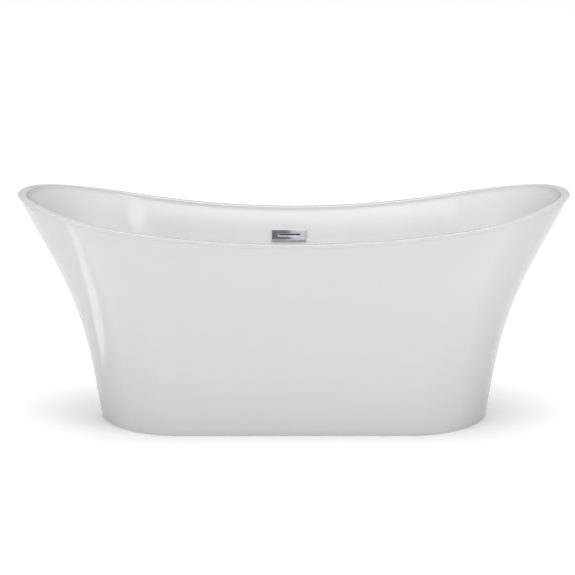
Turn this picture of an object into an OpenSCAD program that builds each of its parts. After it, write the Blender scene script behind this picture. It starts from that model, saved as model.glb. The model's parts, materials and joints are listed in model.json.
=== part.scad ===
// Freestanding double-slipper bathtub: an inner basin and an outer skirt bonded at the rim, on a
// welded steel frame with four screw feet, with a click-clack waste and a slotted side overflow.
// Millimetres, +X along the tub, +Y towards the overflow side, +Z up. The origin is on the floor,
// under the middle of the rim.

/* [Tub] */
// Length over the rim
tub_length = 1700; // [1600:10:1800]
// Width over the rim
tub_width = 800; // [780:5:850]
// Height of the rim at the two raised ends
end_height = 712; // [690:1:760]
// Height of the rim at the middle of the long sides
side_height = 608; // [590:1:640]
// Length of the skirt where it meets the floor
base_length = 1208; // [1180:2:1260]
// Width of the skirt where it meets the floor
base_width = 530; // [520:2:560]
// Gap between the skirt and the floor
floor_gap = 4; // [3:0.5:8]
// Thickness of the outer skirt
skirt_wall = 5; // [4:0.5:6]
// Width of the flange turned in at the foot of the skirt
foot_flange = 25; // [15:1:30]

/* [Basin] */
// Width of the flat rim, from its outer to its inner edge
rim_width = 28; // [24:1:32]
// Rounding of the outer edge of the rim
rim_outer_r = 3; // [2:0.5:5]
// Rounding of the inner edge of the rim
rim_inner_r = 5; // [4:0.5:6]
// Thickness of the basin wall
basin_wall = 6; // [5:0.5:7]
// Height of the basin floor above the room's floor
basin_floor = 150; // [146:1:160]
// Length of the flat part of the basin floor
floor_length = 880; // [840:10:900]
// Width of the flat part of the basin floor
floor_width = 300; // [280:10:310]

/* [Support] */
// Thickness of the reinforcing board under the basin floor
board_t = 15; // [12:1:16]
// Side of the square steel tube of the frame
tube_side = 30; // [25:1:30]
// Wall of the steel tube
tube_wall = 2; // [1.5:0.5:3]
// Distance between the middle of the feet along the tub
feet_x = 770; // [740:5:790]
// Distance between the middle of the feet across the tub
feet_y = 370; // [366:1:376]

/* [Waste and overflow] */
// Place of the drain and the overflow along the tub, from its middle
waste_x = -15; // [-30:1:30]
// Height of the middle of the overflow plate
overflow_z = 520; // [500:1:525]
// Length of the overflow plate
plate_l = 112; // [100:1:120]
// Height of the overflow plate
plate_h = 36; // [34:1:40]
// Outer radius of the waste outlet pipe
outlet_r = 20; // [18:0.5:20]
// Travel of the click-clack stopper
stopper_travel = 8; // [5:0.5:8]

/* [Hidden] */

eps = 0.05;                     // running clearance of studs, stems and pipes
cap_steps = 30;                 // facets round each end of the shells
side_steps = 10;                // facets along each straight side
$fn = 48;

// Plan of the tub: straight sides joined by superelliptic ends
rim_straight = 500 / 1700 * tub_length;
base_straight = 374 / 1208 * base_length;
floor_straight = 300 / 880 * floor_length;
rim_power = 2.05;
base_power = 1.74;
floor_power = 2;

// Flare of the skirt and of the basin wall: cubic curves of spread against height, both 0 to 1
skirt_curve = [[0, 0], [0.214, 0.511], [0.364, 0.564], [1, 1]];
basin_curve = [[0, 0], [0.60, 0], [0.30, 0.50], [1, 1]];
saddle_flat = 0.073;            // how much the rim line levels out at its ends
saddle_flat_power = 20;         // how close to the ends it does so
bevel = 0.29;                   // share of a radius at the middle of a rounding, 1 - cos(45)
seam_s = 0.985;                 // point of the skirt curve where the rim's lip takes over

seam_gap = 0.3;                 // adhesive between the lip of the rim and the top of the skirt

// Support levels, from the floor up
board_top = basin_floor - basin_wall;
board_bottom = board_top - board_t;
tube_bottom = board_bottom - tube_side;
bracket_t = 6;
bracket_bottom = tube_bottom - bracket_t;

// Board and frame
board_straight = 740;
board_width = 320;
board_end_r = board_width / 2;
board_end = 60;                 // reach of the rounded ends past the straight part
board_hole_r = 40;
rail_y = 140;
rail_length = 860;
mid_rail_x = 170;
cap_t = 2;
cap_plug = 12;
bracket_l = 60;
bracket_edge = 20;              // from the middle of the foot to the outer edge of its bracket
board_screw_x = 260;
board_screw_r = 1.95;
board_screw_head_r = 5;
board_screw_h = tube_side + board_t - 4;
screw_head = 3;

// Screw feet
stud_r = 6;
nut_flats = 19;
nut_h = 10;
sole_t = 3;
pad_r = 25;
pad_rim = 5;                    // thickness of the pad at its edge
pad_slope = 5;
pad_boss_r = 11;
pad_boss_top = 20;
stud_bottom = 7 + eps;
stud_top = 123;
stud_collar_r = 9;
stud_collar_h = 9;

// Clips between the long rails and the foot flange of the skirt
clip_x = 230;
clip_t = 3;
clip_w = 30;
clip_bottom = floor_gap + skirt_wall;
clip_reach = base_width / 2 - foot_flange + 16 - rail_y - tube_side / 2;
clip_screw_z = tube_bottom + 12;
clip_top = clip_screw_z + 10;
clip_screw_r = 2.5;
clip_head_r = 4.5;

// Waste, from the basin floor down
flange_r = 35;
flange_t = 4;
flange_top = basin_floor + flange_t;
seat_r = 30.5;
seat_z = basin_floor + 2;
drain_r = 22;
drain_bore_r = 18;
drain_bottom = 104;
drain_hole_gap = 0.5;
spider_z = 118;                 // three-armed spider that holds the stopper's cartridge
spider_t = 6;
spider_r = 8;
spider_bore_r = 4;
seal_t = 2.5;
seal_r = 33;
waste_top = board_top - seal_t;
waste_flange_r = 34;
waste_flange_t = 7;
waste_r = 28;
waste_shoulder = 62;
waste_bottom = 45;
socket_r = 26;
port_r = 16;
port_end = 50;
port_depth = 20;

// Outlet pipe: a spigot below a thicker collar, which the slip nut holds
pipe_bottom = 12;
pipe_shoulder = 36;
pipe_top = waste_shoulder - 1;
pipe_wall = 2.5;
collar_r = outlet_r + 2;
washer_t = 3;
outlet_nut_r = 31;
outlet_nut_lip = 4;
outlet_nut_h = 21;
nut_grip_r = 3.5;
nut_grips = 12;

// Click-clack stopper
cap_r = 30;
cap_h = 6;
cap_dome_r = 100;
cap_z = flange_top - 0.5;
cap_seal_r = 27;
cap_seal_bore_r = 20;
stem_r = 3;
stem_end_r = 2.4;
stem_end_h = 2.5;
plunger_r = 5;
plunger_t = 4;
plunger_z = 134;
cartridge_r = 8;
cartridge_z = spider_z + spider_t;
cartridge_floor = cartridge_z + 4;
bore_top = plunger_z + plunger_t + stopper_travel;
cartridge_top = bore_top + 3;
wire_r = 0.6;
coil_r = 4.2;
coil_turns = 3;
coil_gap = 0.2;                 // play of the spring at each end
coil_steps = 18;
wire_sides = 8;

// Hose between the waste and the overflow
hose_z = 80;
hose_r = 13;
hose_wall = 2.5;
hose_lean = 15;                 // angle of the hose's long run from the vertical
hose_bend_r = 60;
hose_sides = 16;
hose_steps = 8;
hose_nut_r = 19;
hose_nut_h = 10;
clamp_t = 1.2;
clamp_h = 9;
spigot_r = (hose_r - hose_wall) * cos(180 / hose_sides) - eps;
spigot_wall = 2;
spigot_end = 50;

// Overflow: where the inner wall has the wanted height, and how far it leans there
overflow_s = curve_s((overflow_z - basin_floor) / (side_height - rim_inner_r - basin_floor));
overflow_y = mix(floor_width / 2, tub_width / 2 - rim_width, bez(basin_curve, overflow_s).x);
overflow_slope = bez_d(basin_curve, overflow_s);
overflow_lean = atan2(
    overflow_slope.x * (tub_width / 2 - rim_width - floor_width / 2),
    overflow_slope.y * (side_height - rim_inner_r - basin_floor));
wall_front = -0.1;              // the wall's facets lie between these two planes here
wall_back = basin_wall + 1;
overflow_hole = [60, 16];       // length and height of the opening through the wall
overflow_slot = [68, 4.5];
front_seal = [88, 24, 2];
plate_t = 8;
plate_face = wall_front - front_seal.z - plate_t;
body_l = 84;
body_h = 28;
body_t = 22;
body_wall = 3;
back_seal_t = 2;
body_face = wall_back + back_seal_t;
body_mid = body_face + body_t / 2;
body_y = overflow_y + body_mid * cos(overflow_lean);
body_z = overflow_z - body_mid * sin(overflow_lean);
hose_corner_y = body_y - (body_z - hose_z) * tan(hose_lean);
bend_turn = 90 - hose_lean;
bend_reach = hose_bend_r * tan(bend_turn / 2);
hose_top = 34;                  // from the middle of the overflow body down to the hose's end
screw_x = 35;
screw_r = 1.95;
screw_hole_r = 2.2;
screw_head_r = 4.5;
screw_length = body_t + body_face - wall_front + front_seal.z + 1;

function mix(a, b, t) = a + (b - a) * t;
function spow(v, e) = sign(v) * pow(abs(v), e);
function bez(c, s) = c[0] * pow(1 - s, 3) + c[1] * 3 * s * pow(1 - s, 2)
    + c[2] * 3 * s * s * (1 - s) + c[3] * pow(s, 3);
function bez_d(c, s) = (c[1] - c[0]) * 3 * pow(1 - s, 2)
    + (c[2] - c[1]) * 6 * s * (1 - s) + (c[3] - c[2]) * 3 * s * s;
function curve_s(h, lo = 0, hi = 1, n = 24) = n == 0 ? (lo + hi) / 2
    : bez(basin_curve, (lo + hi) / 2).y < h
        ? curve_s(h, (lo + hi) / 2, hi, n - 1)
        : curve_s(h, lo, (lo + hi) / 2, n - 1);

// One turn round the plan, anticlockwise: each entry is [side, cosine, sine], where side runs
// from 1 on the right end to -1 on the left end along the straight sides
TURN = concat(
    [for (i = [0:cap_steps]) [1, cos(-90 + 180 * i / cap_steps), sin(-90 + 180 * i / cap_steps)]],
    [for (i = [1:side_steps - 1]) [1 - 2 * i / side_steps, 0, 1]],
    [for (i = [0:cap_steps]) [-1, cos(90 + 180 * i / cap_steps), sin(90 + 180 * i / cap_steps)]],
    [for (i = [1:side_steps - 1]) [-1 + 2 * i / side_steps, 0, -1]]);

// A plan is [half length, half width, half of the straight side, power of the ends]
RIM = [tub_length / 2, tub_width / 2, rim_straight, rim_power];
BASE = [base_length / 2, base_width / 2, base_straight, base_power];
RIM_INSIDE = [RIM[0] - rim_width, RIM[1] - rim_width, rim_straight, rim_power];
FLOOR = [floor_length / 2, floor_width / 2, floor_straight, floor_power];

function inset(p, d) = [p[0] - d, p[1] - d, p[2], p[3]];
function plan_xy(p, k) = [
    p[2] * k[0] + (p[0] - p[2]) * spow(k[1], 2 / p[3]),
    p[1] * spow(k[2], 2 / p[3])];
function rim_height(x) = let (u = x / RIM[0])
    side_height + (end_height - side_height)
        * ((1 + saddle_flat) * pow(u, 2) - saddle_flat * pow(u, saddle_flat_power));

// A ring lies on plan p, at a share h of the way from z_low to the rim, moved up by dz
function ring(p, z_low, h, dz) = [for (k = TURN)
    let (xy = plan_xy(p, k), top = rim_height(plan_xy(RIM, k).x))
    [xy.x, xy.y, mix(z_low, top, h) + dz]];

function skirt_ring(s, d, dz = 0) = let (c = bez(skirt_curve, s))
    ring(inset(mix(BASE, RIM, c.x), d), floor_gap, c.y, dz);

// The basin wall ends at the foot of the rim's inner rounding. depth is the way into the wall,
// along its normal.
function basin_ring(s, depth) = let (
        c = bez(basin_curve, s),
        t = bez_d(basin_curve, s),
        run = [t.x * (RIM_INSIDE[1] - FLOOR[1]), t.y * (side_height - basin_floor)],
        n = run / norm(run))
    ring(inset(mix(FLOOR, RIM_INSIDE, c.x), -depth * n.y), basin_floor, c.y,
        -rim_inner_r * c.y - depth * n.x);

// A closed skin through the rings in order. The last ring joins the first, or each end is
// closed at a pole point.
module skin(rings, poles = []) {
    count = len(rings[0]);
    last = len(rings) - 1;
    points = concat([for (r = rings) each r], poles);
    north = count * len(rings);
    bands = [for (j = [0:last - (len(poles) > 0 ? 1 : 0)], i = [0:count - 1])
        let (a = j * count + i, b = j * count + (i + 1) % count,
            up = (j == last ? 0 : j + 1) * count)
        each [[a, up + i, b], [b, up + i, up + (i + 1) % count]]];
    ends = len(poles) == 0 ? [] : [for (i = [0:count - 1]) each [
        [i, (i + 1) % count, north],
        [last * count + (i + 1) % count, last * count + i, north + 1]]];
    polyhedron(points, concat(bands, ends), convexity = 8);
}

module at_feet(sides = [[-1, -1], [1, -1], [-1, 1], [1, 1]]) {
    for (s = sides) translate([s.x * feet_x / 2, s.y * feet_y / 2, 0]) children();
}

module tube(r, inner_r, h) {
    difference() {
        cylinder(r = r, h = h);
        translate([0, 0, -1]) cylinder(r = inner_r, h = h + 2);
    }
}

module hex_nut(flats, bore_r, h) {
    difference() {
        cylinder(r = flats / 2 / cos(30), h = h, $fn = 6);
        translate([0, 0, -1]) cylinder(r = bore_r, h = h + 2);
    }
}

// A plate with round ends, flat in X and Z, from y = 0 to y = t
module stadium(l, h, t) {
    for (x = [-1, 1] * (l - h) / 2) translate([x, 0, 0]) rotate([-90, 0, 0]) cylinder(d = h, h = t);
    translate([-(l - h) / 2, 0, -h / 2]) cube([l - h, t, h]);
}

// Frame on the basin wall behind the overflow: -Y points into the tub, +Z up the wall
module on_wall() {
    translate([waste_x, overflow_y, overflow_z]) rotate([-overflow_lean, 0, 0]) children();
}

// The two screw holes beside the overflow, from y = start for t
module screw_holes(start, t) {
    for (x = [-1, 1] * screw_x) translate([x, start, 0]) rotate([-90, 0, 0])
        cylinder(r = screw_hole_r, h = t);
}

module overflow_holes(start, t) {
    translate([0, start, 0]) stadium(overflow_hole[0], overflow_hole[1], t);
    screw_holes(start, t);
}

// ---- Shells ----

module outer_skirt() {
    steps = 14;
    color("white") skin(concat(
        [for (i = [0:steps]) skirt_ring(seam_s * i / steps, 0)],
        [for (i = [steps:-1:1]) skirt_ring(seam_s * i / steps, skirt_wall)],
        [skirt_ring(0, skirt_wall, skirt_wall), skirt_ring(0, foot_flange, skirt_wall),
            skirt_ring(0, foot_flange)]));
}

module inner_basin() {
    steps = 14;
    lip_drop = basin_wall + rim_inner_r * 0.5;
    rings = concat(
        [for (i = [0:steps - 1]) basin_ring(i / steps, basin_wall)],
        [ring(inset(RIM, rim_width - basin_wall), 0, 1, -lip_drop),
            ring(inset(RIM, skirt_wall + 1), 0, 1, -lip_drop),
            skirt_ring(seam_s, skirt_wall, seam_gap),
            skirt_ring(seam_s, 0, seam_gap),
            ring(RIM, 0, 1, -rim_outer_r),
            ring(inset(RIM, rim_outer_r * bevel), 0, 1, -rim_outer_r * bevel),
            ring(inset(RIM, rim_outer_r), 0, 1, 0),
            ring(inset(RIM, rim_width - rim_inner_r), 0, 1, 0),
            ring(inset(RIM, rim_width - rim_inner_r * bevel), 0, 1, -rim_inner_r * bevel)],
        [for (i = [steps:-1:0]) basin_ring(i / steps, 0)]);
    color("white") difference() {
        skin(rings, [[0, 0, board_top], [0, 0, basin_floor]]);
        translate([waste_x, 0, board_top - 1])
            cylinder(r = drain_r + drain_hole_gap, h = basin_wall + 2);
        on_wall() overflow_holes(-5, basin_wall + 10);
    }
}

// ---- Support ----

module at_board_screws() {
    for (x = [-1, 1] * board_screw_x, y = [-1, 1] * rail_y) translate([x, y, 0]) children();
}

module base_board() {
    color("burlywood") difference() {
        translate([0, 0, board_bottom]) linear_extrude(board_t) {
            square([board_straight, board_width], center = true);
            for (side = [-1, 1]) translate([side * board_straight / 2, 0]) intersection() {
                circle(r = board_end_r);
                translate([side > 0 ? 0 : -board_end, -board_end_r])
                    square([board_end, board_width]);
            }
        }
        translate([waste_x, 0, board_bottom - 1]) cylinder(r = board_hole_r, h = board_t + 2);
        at_board_screws() translate([0, 0, board_bottom - 1])
            cylinder(r = board_screw_r + eps, h = board_t - 2);
    }
}

module square_tube(l) {
    inner = tube_side - 2 * tube_wall;
    translate([-l / 2, -tube_side / 2, 0]) difference() {
        cube([l, tube_side, tube_side]);
        translate([-1, tube_wall, tube_wall]) cube([l + 2, inner, inner]);
    }
}

module long_rail(side) {
    color("dimgray") difference() {
        translate([0, side * rail_y, tube_bottom]) square_tube(rail_length);
        at_board_screws() translate([0, 0, tube_bottom - 1]) cylinder(r = 3, h = tube_side + 2);
    }
}

module cross_rail(x) {
    color("dimgray") translate([x, 0, tube_bottom]) rotate([0, 0, 90])
        square_tube(2 * rail_y - tube_side);
}

module frame_rail_front() { long_rail(-1); }
module frame_rail_back() { long_rail(1); }
module cross_rail_left() { cross_rail(-feet_x / 2); }
module cross_rail_mid_left() { cross_rail(-mid_rail_x); }
module cross_rail_mid_right() { cross_rail(mid_rail_x); }
module cross_rail_right() { cross_rail(feet_x / 2); }

module rail_end_caps() {
    plug = tube_side - 2 * tube_wall;
    color("black") for (turn = [0, 180], y = [-1, 1] * rail_y)
        rotate([0, 0, turn]) translate([rail_length / 2, y, tube_bottom]) {
            translate([0, -tube_side / 2, 0]) cube([cap_t, tube_side, tube_side]);
            translate([-cap_plug, -plug / 2, tube_wall]) cube([cap_plug, plug, plug]);
        }
}

module foot_brackets() {
    inner = rail_y - tube_side / 2;
    outer = feet_y / 2 + bracket_edge;
    color("dimgray") for (side = [-1, 1]) difference() {
        for (x = [-1, 1] * feet_x / 2)
            translate([x - bracket_l / 2, side > 0 ? inner : -outer, bracket_bottom])
                cube([bracket_l, outer - inner, bracket_t]);
        at_feet() translate([0, 0, bracket_bottom - 1])
            cylinder(r = stud_r + eps, h = bracket_t + 2);
    }
}

module weld_nuts() {
    color("silver") at_feet() translate([0, 0, tube_bottom])
        hex_nut(nut_flats, stud_r + eps, nut_h);
}

module lock_nuts() {
    color("silver") at_feet() translate([0, 0, bracket_bottom - nut_h])
        hex_nut(nut_flats, stud_r + eps, nut_h);
}

module board_screws() {
    color("silver") at_board_screws() translate([0, 0, tube_bottom]) {
        translate([0, 0, -screw_head]) cylinder(r = board_screw_head_r, h = screw_head);
        cylinder(r = board_screw_r, h = board_screw_h);
    }
}

// ---- Feet ----

module foot_pad(side) {
    color("black") at_feet([side]) difference() {
        translate([0, 0, sole_t]) {
            cylinder(r = pad_r, h = pad_rim);
            translate([0, 0, pad_rim]) cylinder(r1 = pad_r, r2 = pad_boss_r, h = pad_slope);
            cylinder(r = pad_boss_r, h = pad_boss_top - sole_t);
        }
        translate([0, 0, stud_bottom - eps]) cylinder(r = stud_r + eps, h = pad_boss_top);
    }
}

module foot_sole(side) {
    color("dimgray") at_feet([side]) cylinder(r = pad_r - 1, h = sole_t);
}

module foot_stud(side) {
    color("silver") at_feet([side]) {
        translate([0, 0, stud_bottom]) cylinder(r = stud_r, h = stud_top - stud_bottom);
        translate([0, 0, pad_boss_top + eps])
            cylinder(r = stud_collar_r, h = stud_collar_h, $fn = 6);
    }
}

module foot_pad_front_left() { foot_pad([-1, -1]); }
module foot_pad_front_right() { foot_pad([1, -1]); }
module foot_pad_back_left() { foot_pad([-1, 1]); }
module foot_pad_back_right() { foot_pad([1, 1]); }
module foot_sole_front_left() { foot_sole([-1, -1]); }
module foot_sole_front_right() { foot_sole([1, -1]); }
module foot_sole_back_left() { foot_sole([-1, 1]); }
module foot_sole_back_right() { foot_sole([1, 1]); }
module foot_stud_front_left() { foot_stud([-1, -1]); }
module foot_stud_front_right() { foot_stud([1, -1]); }
module foot_stud_back_left() { foot_stud([-1, 1]); }
module foot_stud_back_right() { foot_stud([1, 1]); }

// ---- Skirt clips ----

// Frame on the side of a long rail at a clip, with +Y pointing out towards the skirt
module at_clips() {
    for (turn = [0, 180], x = [-1, 1] * clip_x)
        rotate([0, 0, turn]) translate([x, rail_y + tube_side / 2, 0]) children();
}

// An angle from the side of each long rail down to the flange at the foot of the skirt
module skirt_clips() {
    color("silver") at_clips() difference() {
        translate([-clip_w / 2, 0, clip_bottom]) {
            cube([clip_w, clip_t, clip_top - clip_bottom]);
            cube([clip_w, clip_reach, clip_t]);
        }
        translate([0, -1, clip_screw_z]) rotate([-90, 0, 0])
            cylinder(r = clip_screw_r + eps, h = clip_t + 2);
    }
}

module clip_screws() {
    color("silver") at_clips() translate([0, clip_t, clip_screw_z]) rotate([-90, 0, 0]) {
        cylinder(r = clip_head_r, h = screw_head);
        translate([0, 0, -clip_t]) cylinder(r = clip_screw_r, h = clip_t);
    }
}

// ---- Waste ----

module at_drain() {
    translate([waste_x, 0, 0]) children();
}

module drain_flange() {
    color("gainsboro") at_drain() {
        difference() {
            union() {
                translate([0, 0, basin_floor]) cylinder(r = flange_r, h = flange_t);
                translate([0, 0, drain_bottom])
                    cylinder(r = drain_r, h = basin_floor - drain_bottom);
            }
            translate([0, 0, drain_bottom - 1])
                cylinder(r = drain_bore_r, h = flange_top - drain_bottom + 2);
            translate([0, 0, seat_z]) cylinder(r = seat_r, h = flange_t);
        }
        translate([0, 0, spider_z]) difference() {
            union() {
                cylinder(r = spider_r, h = spider_t);
                for (a = [0:120:240]) rotate([0, 0, a])
                    translate([spider_r - 3, -2, 0]) cube([drain_bore_r - spider_r + 4, 4, spider_t]);
            }
            translate([0, 0, -1]) cylinder(r = spider_bore_r, h = spider_t + 2);
        }
    }
}

module drain_seal() {
    color("black") at_drain() translate([0, 0, waste_top]) tube(seal_r, drain_r + eps, seal_t);
}

// Cup under the drain, with a port for the overflow hose and a socket for the outlet pipe
module waste_body() {
    color("white") at_drain() difference() {
        union() {
            translate([0, 0, waste_top - waste_flange_t])
                cylinder(r = waste_flange_r, h = waste_flange_t);
            translate([0, 0, waste_shoulder])
                cylinder(r = waste_r, h = waste_top - waste_shoulder);
            translate([0, 0, waste_bottom])
                cylinder(r = socket_r, h = waste_shoulder - waste_bottom + 1);
            translate([0, 0, hose_z]) rotate([-90, 0, 0]) cylinder(r = port_r, h = port_end);
        }
        translate([0, 0, drain_bottom - 4])
            cylinder(r = drain_r + eps, h = board_top - drain_bottom + 4);
        translate([0, 0, waste_bottom - 1])
            cylinder(r = outlet_r - 1, h = drain_bottom - waste_bottom);
        translate([0, 0, waste_bottom - 1])
            cylinder(r = collar_r + eps, h = waste_shoulder - waste_bottom + 1);
        translate([0, 0, hose_z]) rotate([-90, 0, 0])
            cylinder(r = hose_r - hose_wall, h = port_end + 1);
        translate([0, port_end - port_depth, hose_z]) rotate([-90, 0, 0])
            cylinder(r = hose_r + eps, h = port_depth + 1);
    }
}

module outlet_pipe() {
    color("white") at_drain() difference() {
        union() {
            translate([0, 0, pipe_bottom]) cylinder(r = outlet_r, h = pipe_top - pipe_bottom);
            translate([0, 0, pipe_shoulder]) cylinder(r = collar_r, h = pipe_top - pipe_shoulder);
        }
        translate([0, 0, pipe_bottom - 1])
            cylinder(r = outlet_r - pipe_wall, h = pipe_top - pipe_bottom + 2);
    }
}

module outlet_washer() {
    color("black") at_drain() translate([0, 0, waste_bottom - washer_t])
        tube(socket_r, collar_r + eps, washer_t);
}

module outlet_nut() {
    bottom = waste_bottom - washer_t - outlet_nut_lip;
    color("white") at_drain() translate([0, 0, bottom]) difference() {
        cylinder(r = outlet_nut_r, h = outlet_nut_h);
        translate([0, 0, outlet_nut_lip]) cylinder(r = socket_r + eps, h = outlet_nut_h);
        translate([0, 0, -1]) cylinder(r = collar_r + 0.5, h = outlet_nut_h);
        for (a = [1:nut_grips]) rotate([0, 0, 360 / nut_grips * a])
            translate([outlet_nut_r + nut_grip_r / 2, 0, -1])
                cylinder(r = nut_grip_r, h = outlet_nut_h + 2);
    }
}

// ---- Click-clack stopper ----

module stopper_cap() {
    color("gainsboro") at_drain() translate([0, 0, cap_z]) rotate_extrude($fn = 96) difference() {
        intersection() {
            square([cap_r, cap_h]);
            translate([0, cap_h - cap_dome_r]) circle(r = cap_dome_r, $fn = 360);
        }
        translate([0, -1]) square([stem_end_r + 0.1, stem_end_h + 1.5]);
    }
}

module stopper_seal() {
    bottom = seat_z + eps;
    color("black") at_drain() translate([0, 0, bottom])
        tube(cap_seal_r, cap_seal_bore_r, cap_z - bottom);
}

module stopper_stem() {
    rod_z = plunger_z + plunger_t;
    color("silver") at_drain() {
        translate([0, 0, plunger_z]) cylinder(r = plunger_r, h = plunger_t);
        translate([0, 0, rod_z]) cylinder(r = stem_r, h = cap_z - rod_z);
        translate([0, 0, cap_z]) cylinder(r = stem_end_r, h = stem_end_h);
    }
}

module stopper_cartridge() {
    color("white") at_drain() {
        translate([0, 0, spider_z]) cylinder(r = spider_bore_r - eps, h = spider_t + 0.5);
        difference() {
            translate([0, 0, cartridge_z]) cylinder(r = cartridge_r, h = cartridge_top - cartridge_z);
            translate([0, 0, cartridge_floor])
                cylinder(r = plunger_r + eps, h = bore_top - cartridge_floor + eps);
            translate([0, 0, cartridge_floor])
                cylinder(r = stem_r + eps, h = cartridge_top - cartridge_floor + 1);
        }
    }
}

// Short compression spring under the plunger, held compressed while the stopper is shut
module stopper_spring() {
    height = plunger_z - cartridge_floor - 2 * (wire_r + coil_gap);
    steps = coil_turns * coil_steps;
    rings = [for (i = [0:steps]) let (a = 360 * i / coil_steps) [for (k = [0:wire_sides - 1])
        let (w = 360 * k / wire_sides, r = coil_r - wire_r * cos(w))
        [r * cos(a), r * sin(a), wire_r * sin(w) + height * i / steps]]];
    ends = [[coil_r, 0, 0], [coil_r, 0, height]];
    color("silver") at_drain() translate([0, 0, cartridge_floor + wire_r + coil_gap])
        skin(rings, ends);
}

// ---- Overflow ----

module overflow_plate() {
    color("gainsboro") on_wall() difference() {
        translate([-plate_l / 2, plate_face, -plate_h / 2]) cube([plate_l, plate_t, plate_h]);
        translate([0, plate_face - 1, 0])
            stadium(overflow_slot[0], overflow_slot[1], plate_t + 2);
        screw_holes(plate_face + 3, plate_t);
    }
}

module overflow_front_seal() {
    color("dimgray") on_wall() difference() {
        translate([0, wall_front - front_seal.z, 0])
            stadium(front_seal.x, front_seal.y, front_seal.z);
        overflow_holes(-front_seal.z - 1, front_seal.z + 2);
    }
}

module overflow_back_seal() {
    color("black") on_wall() difference() {
        translate([0, wall_back, 0]) stadium(body_l, body_h, back_seal_t);
        overflow_holes(wall_back - 1, back_seal_t + 2);
    }
}

// Frame at the middle of the overflow body, with -Z down the run of the hose
module on_hose_run() {
    translate([waste_x, body_y, body_z]) rotate([-hose_lean, 0, 0]) children();
}

module overflow_body() {
    color("white") difference() {
        union() {
            on_wall() translate([0, body_face, 0]) stadium(body_l, body_h, body_t);
            on_hose_run() translate([0, 0, -spigot_end])
                cylinder(r = spigot_r, h = spigot_end - 5);
        }
        on_wall() translate([0, body_face - 1, 0])
            stadium(overflow_hole[0], overflow_hole[1], body_t + 1 - body_wall);
        on_hose_run() translate([0, 0, -spigot_end - 1])
            cylinder(r = spigot_r - spigot_wall, h = spigot_end);
        on_wall() screw_holes(body_face - 1, body_t + 2);
    }
}

module overflow_screws() {
    color("silver") on_wall() for (x = [-1, 1] * screw_x)
        translate([x, body_face + body_t, 0]) rotate([-90, 0, 0]) {
            cylinder(r = screw_head_r, h = screw_head);
            translate([0, 0, -screw_length]) cylinder(r = screw_r, h = screw_length + 0.5);
        }
}

// A ring of the hose: the turn is 0 on the level run and bend_turn on the leaning run
function hose_ring(p, turn, r) = [for (k = [0:hose_sides - 1]) let (a = 360 * k / hose_sides)
    [waste_x - r * cos(a), p.x - r * sin(a) * sin(turn), p.y + r * sin(a) * cos(turn)]];

function hose_rings(r) = concat(
    [hose_ring([port_end - port_depth, hose_z], 0, r)],
    [for (i = [0:hose_steps]) let (turn = bend_turn * i / hose_steps)
        hose_ring([hose_corner_y - bend_reach + hose_bend_r * sin(turn),
            hose_z + hose_bend_r * (1 - cos(turn))], turn, r)],
    [hose_ring([body_y - hose_top * sin(hose_lean), body_z - hose_top * cos(hose_lean)],
        bend_turn, r)]);

module overflow_hose() {
    inside = hose_rings(hose_r - hose_wall);
    color("lightgray") skin(concat(hose_rings(hose_r),
        [for (i = [len(inside) - 1:-1:0]) inside[i]]));
}

module hose_nut() {
    color("white") translate([waste_x, port_end, hose_z]) rotate([-90, 0, 0])
        tube(hose_nut_r, hose_r + eps, hose_nut_h);
}

module hose_clamp() {
    color("silver") on_hose_run() translate([0, 0, -hose_top - clamp_h - 5])
        tube(hose_r + clamp_t, hose_r + eps, clamp_h);
}

outer_skirt();
inner_basin();
base_board();
frame_rail_front();
frame_rail_back();
cross_rail_left();
cross_rail_mid_left();
cross_rail_mid_right();
cross_rail_right();
rail_end_caps();
foot_brackets();
weld_nuts();
lock_nuts();
foot_pad_front_left();
foot_pad_front_right();
foot_pad_back_left();
foot_pad_back_right();
foot_sole_front_left();
foot_sole_front_right();
foot_sole_back_left();
foot_sole_back_right();
foot_stud_front_left();
foot_stud_front_right();
foot_stud_back_left();
foot_stud_back_right();
skirt_clips();
clip_screws();
board_screws();
drain_flange();
drain_seal();
waste_body();
outlet_pipe();
outlet_nut();
outlet_washer();
stopper_cap();
stopper_seal();
stopper_stem();
stopper_cartridge();
stopper_spring();
overflow_plate();
overflow_front_seal();
overflow_back_seal();
overflow_body();
overflow_screws();
overflow_hose();
hose_nut();
hose_clamp();
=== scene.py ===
"""Freestanding bathtub: detailed meshes, materials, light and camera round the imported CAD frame. Metres."""

import json
import math

import bmesh
import bpy
import numpy as np
from mathutils import Matrix, Vector


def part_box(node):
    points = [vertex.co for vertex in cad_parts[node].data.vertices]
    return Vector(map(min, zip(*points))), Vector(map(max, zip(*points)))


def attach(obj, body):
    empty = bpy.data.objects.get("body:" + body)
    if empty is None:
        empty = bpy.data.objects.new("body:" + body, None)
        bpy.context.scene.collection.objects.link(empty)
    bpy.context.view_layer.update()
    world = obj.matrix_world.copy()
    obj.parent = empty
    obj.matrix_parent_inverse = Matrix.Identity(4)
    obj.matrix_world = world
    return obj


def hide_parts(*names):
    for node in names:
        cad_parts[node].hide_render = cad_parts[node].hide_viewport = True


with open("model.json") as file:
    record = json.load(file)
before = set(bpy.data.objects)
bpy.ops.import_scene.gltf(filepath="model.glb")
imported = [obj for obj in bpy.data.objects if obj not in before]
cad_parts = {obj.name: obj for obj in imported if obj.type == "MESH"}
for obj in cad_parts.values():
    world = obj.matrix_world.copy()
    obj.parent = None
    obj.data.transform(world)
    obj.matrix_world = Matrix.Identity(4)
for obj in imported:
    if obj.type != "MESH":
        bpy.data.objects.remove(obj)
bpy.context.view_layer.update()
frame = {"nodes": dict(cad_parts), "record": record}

MM = 0.001
AXIS = 1e-9                     # a profile point nearer the axis than this is on it

# ---- Shape of the shells, worked out from the frame ----

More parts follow.
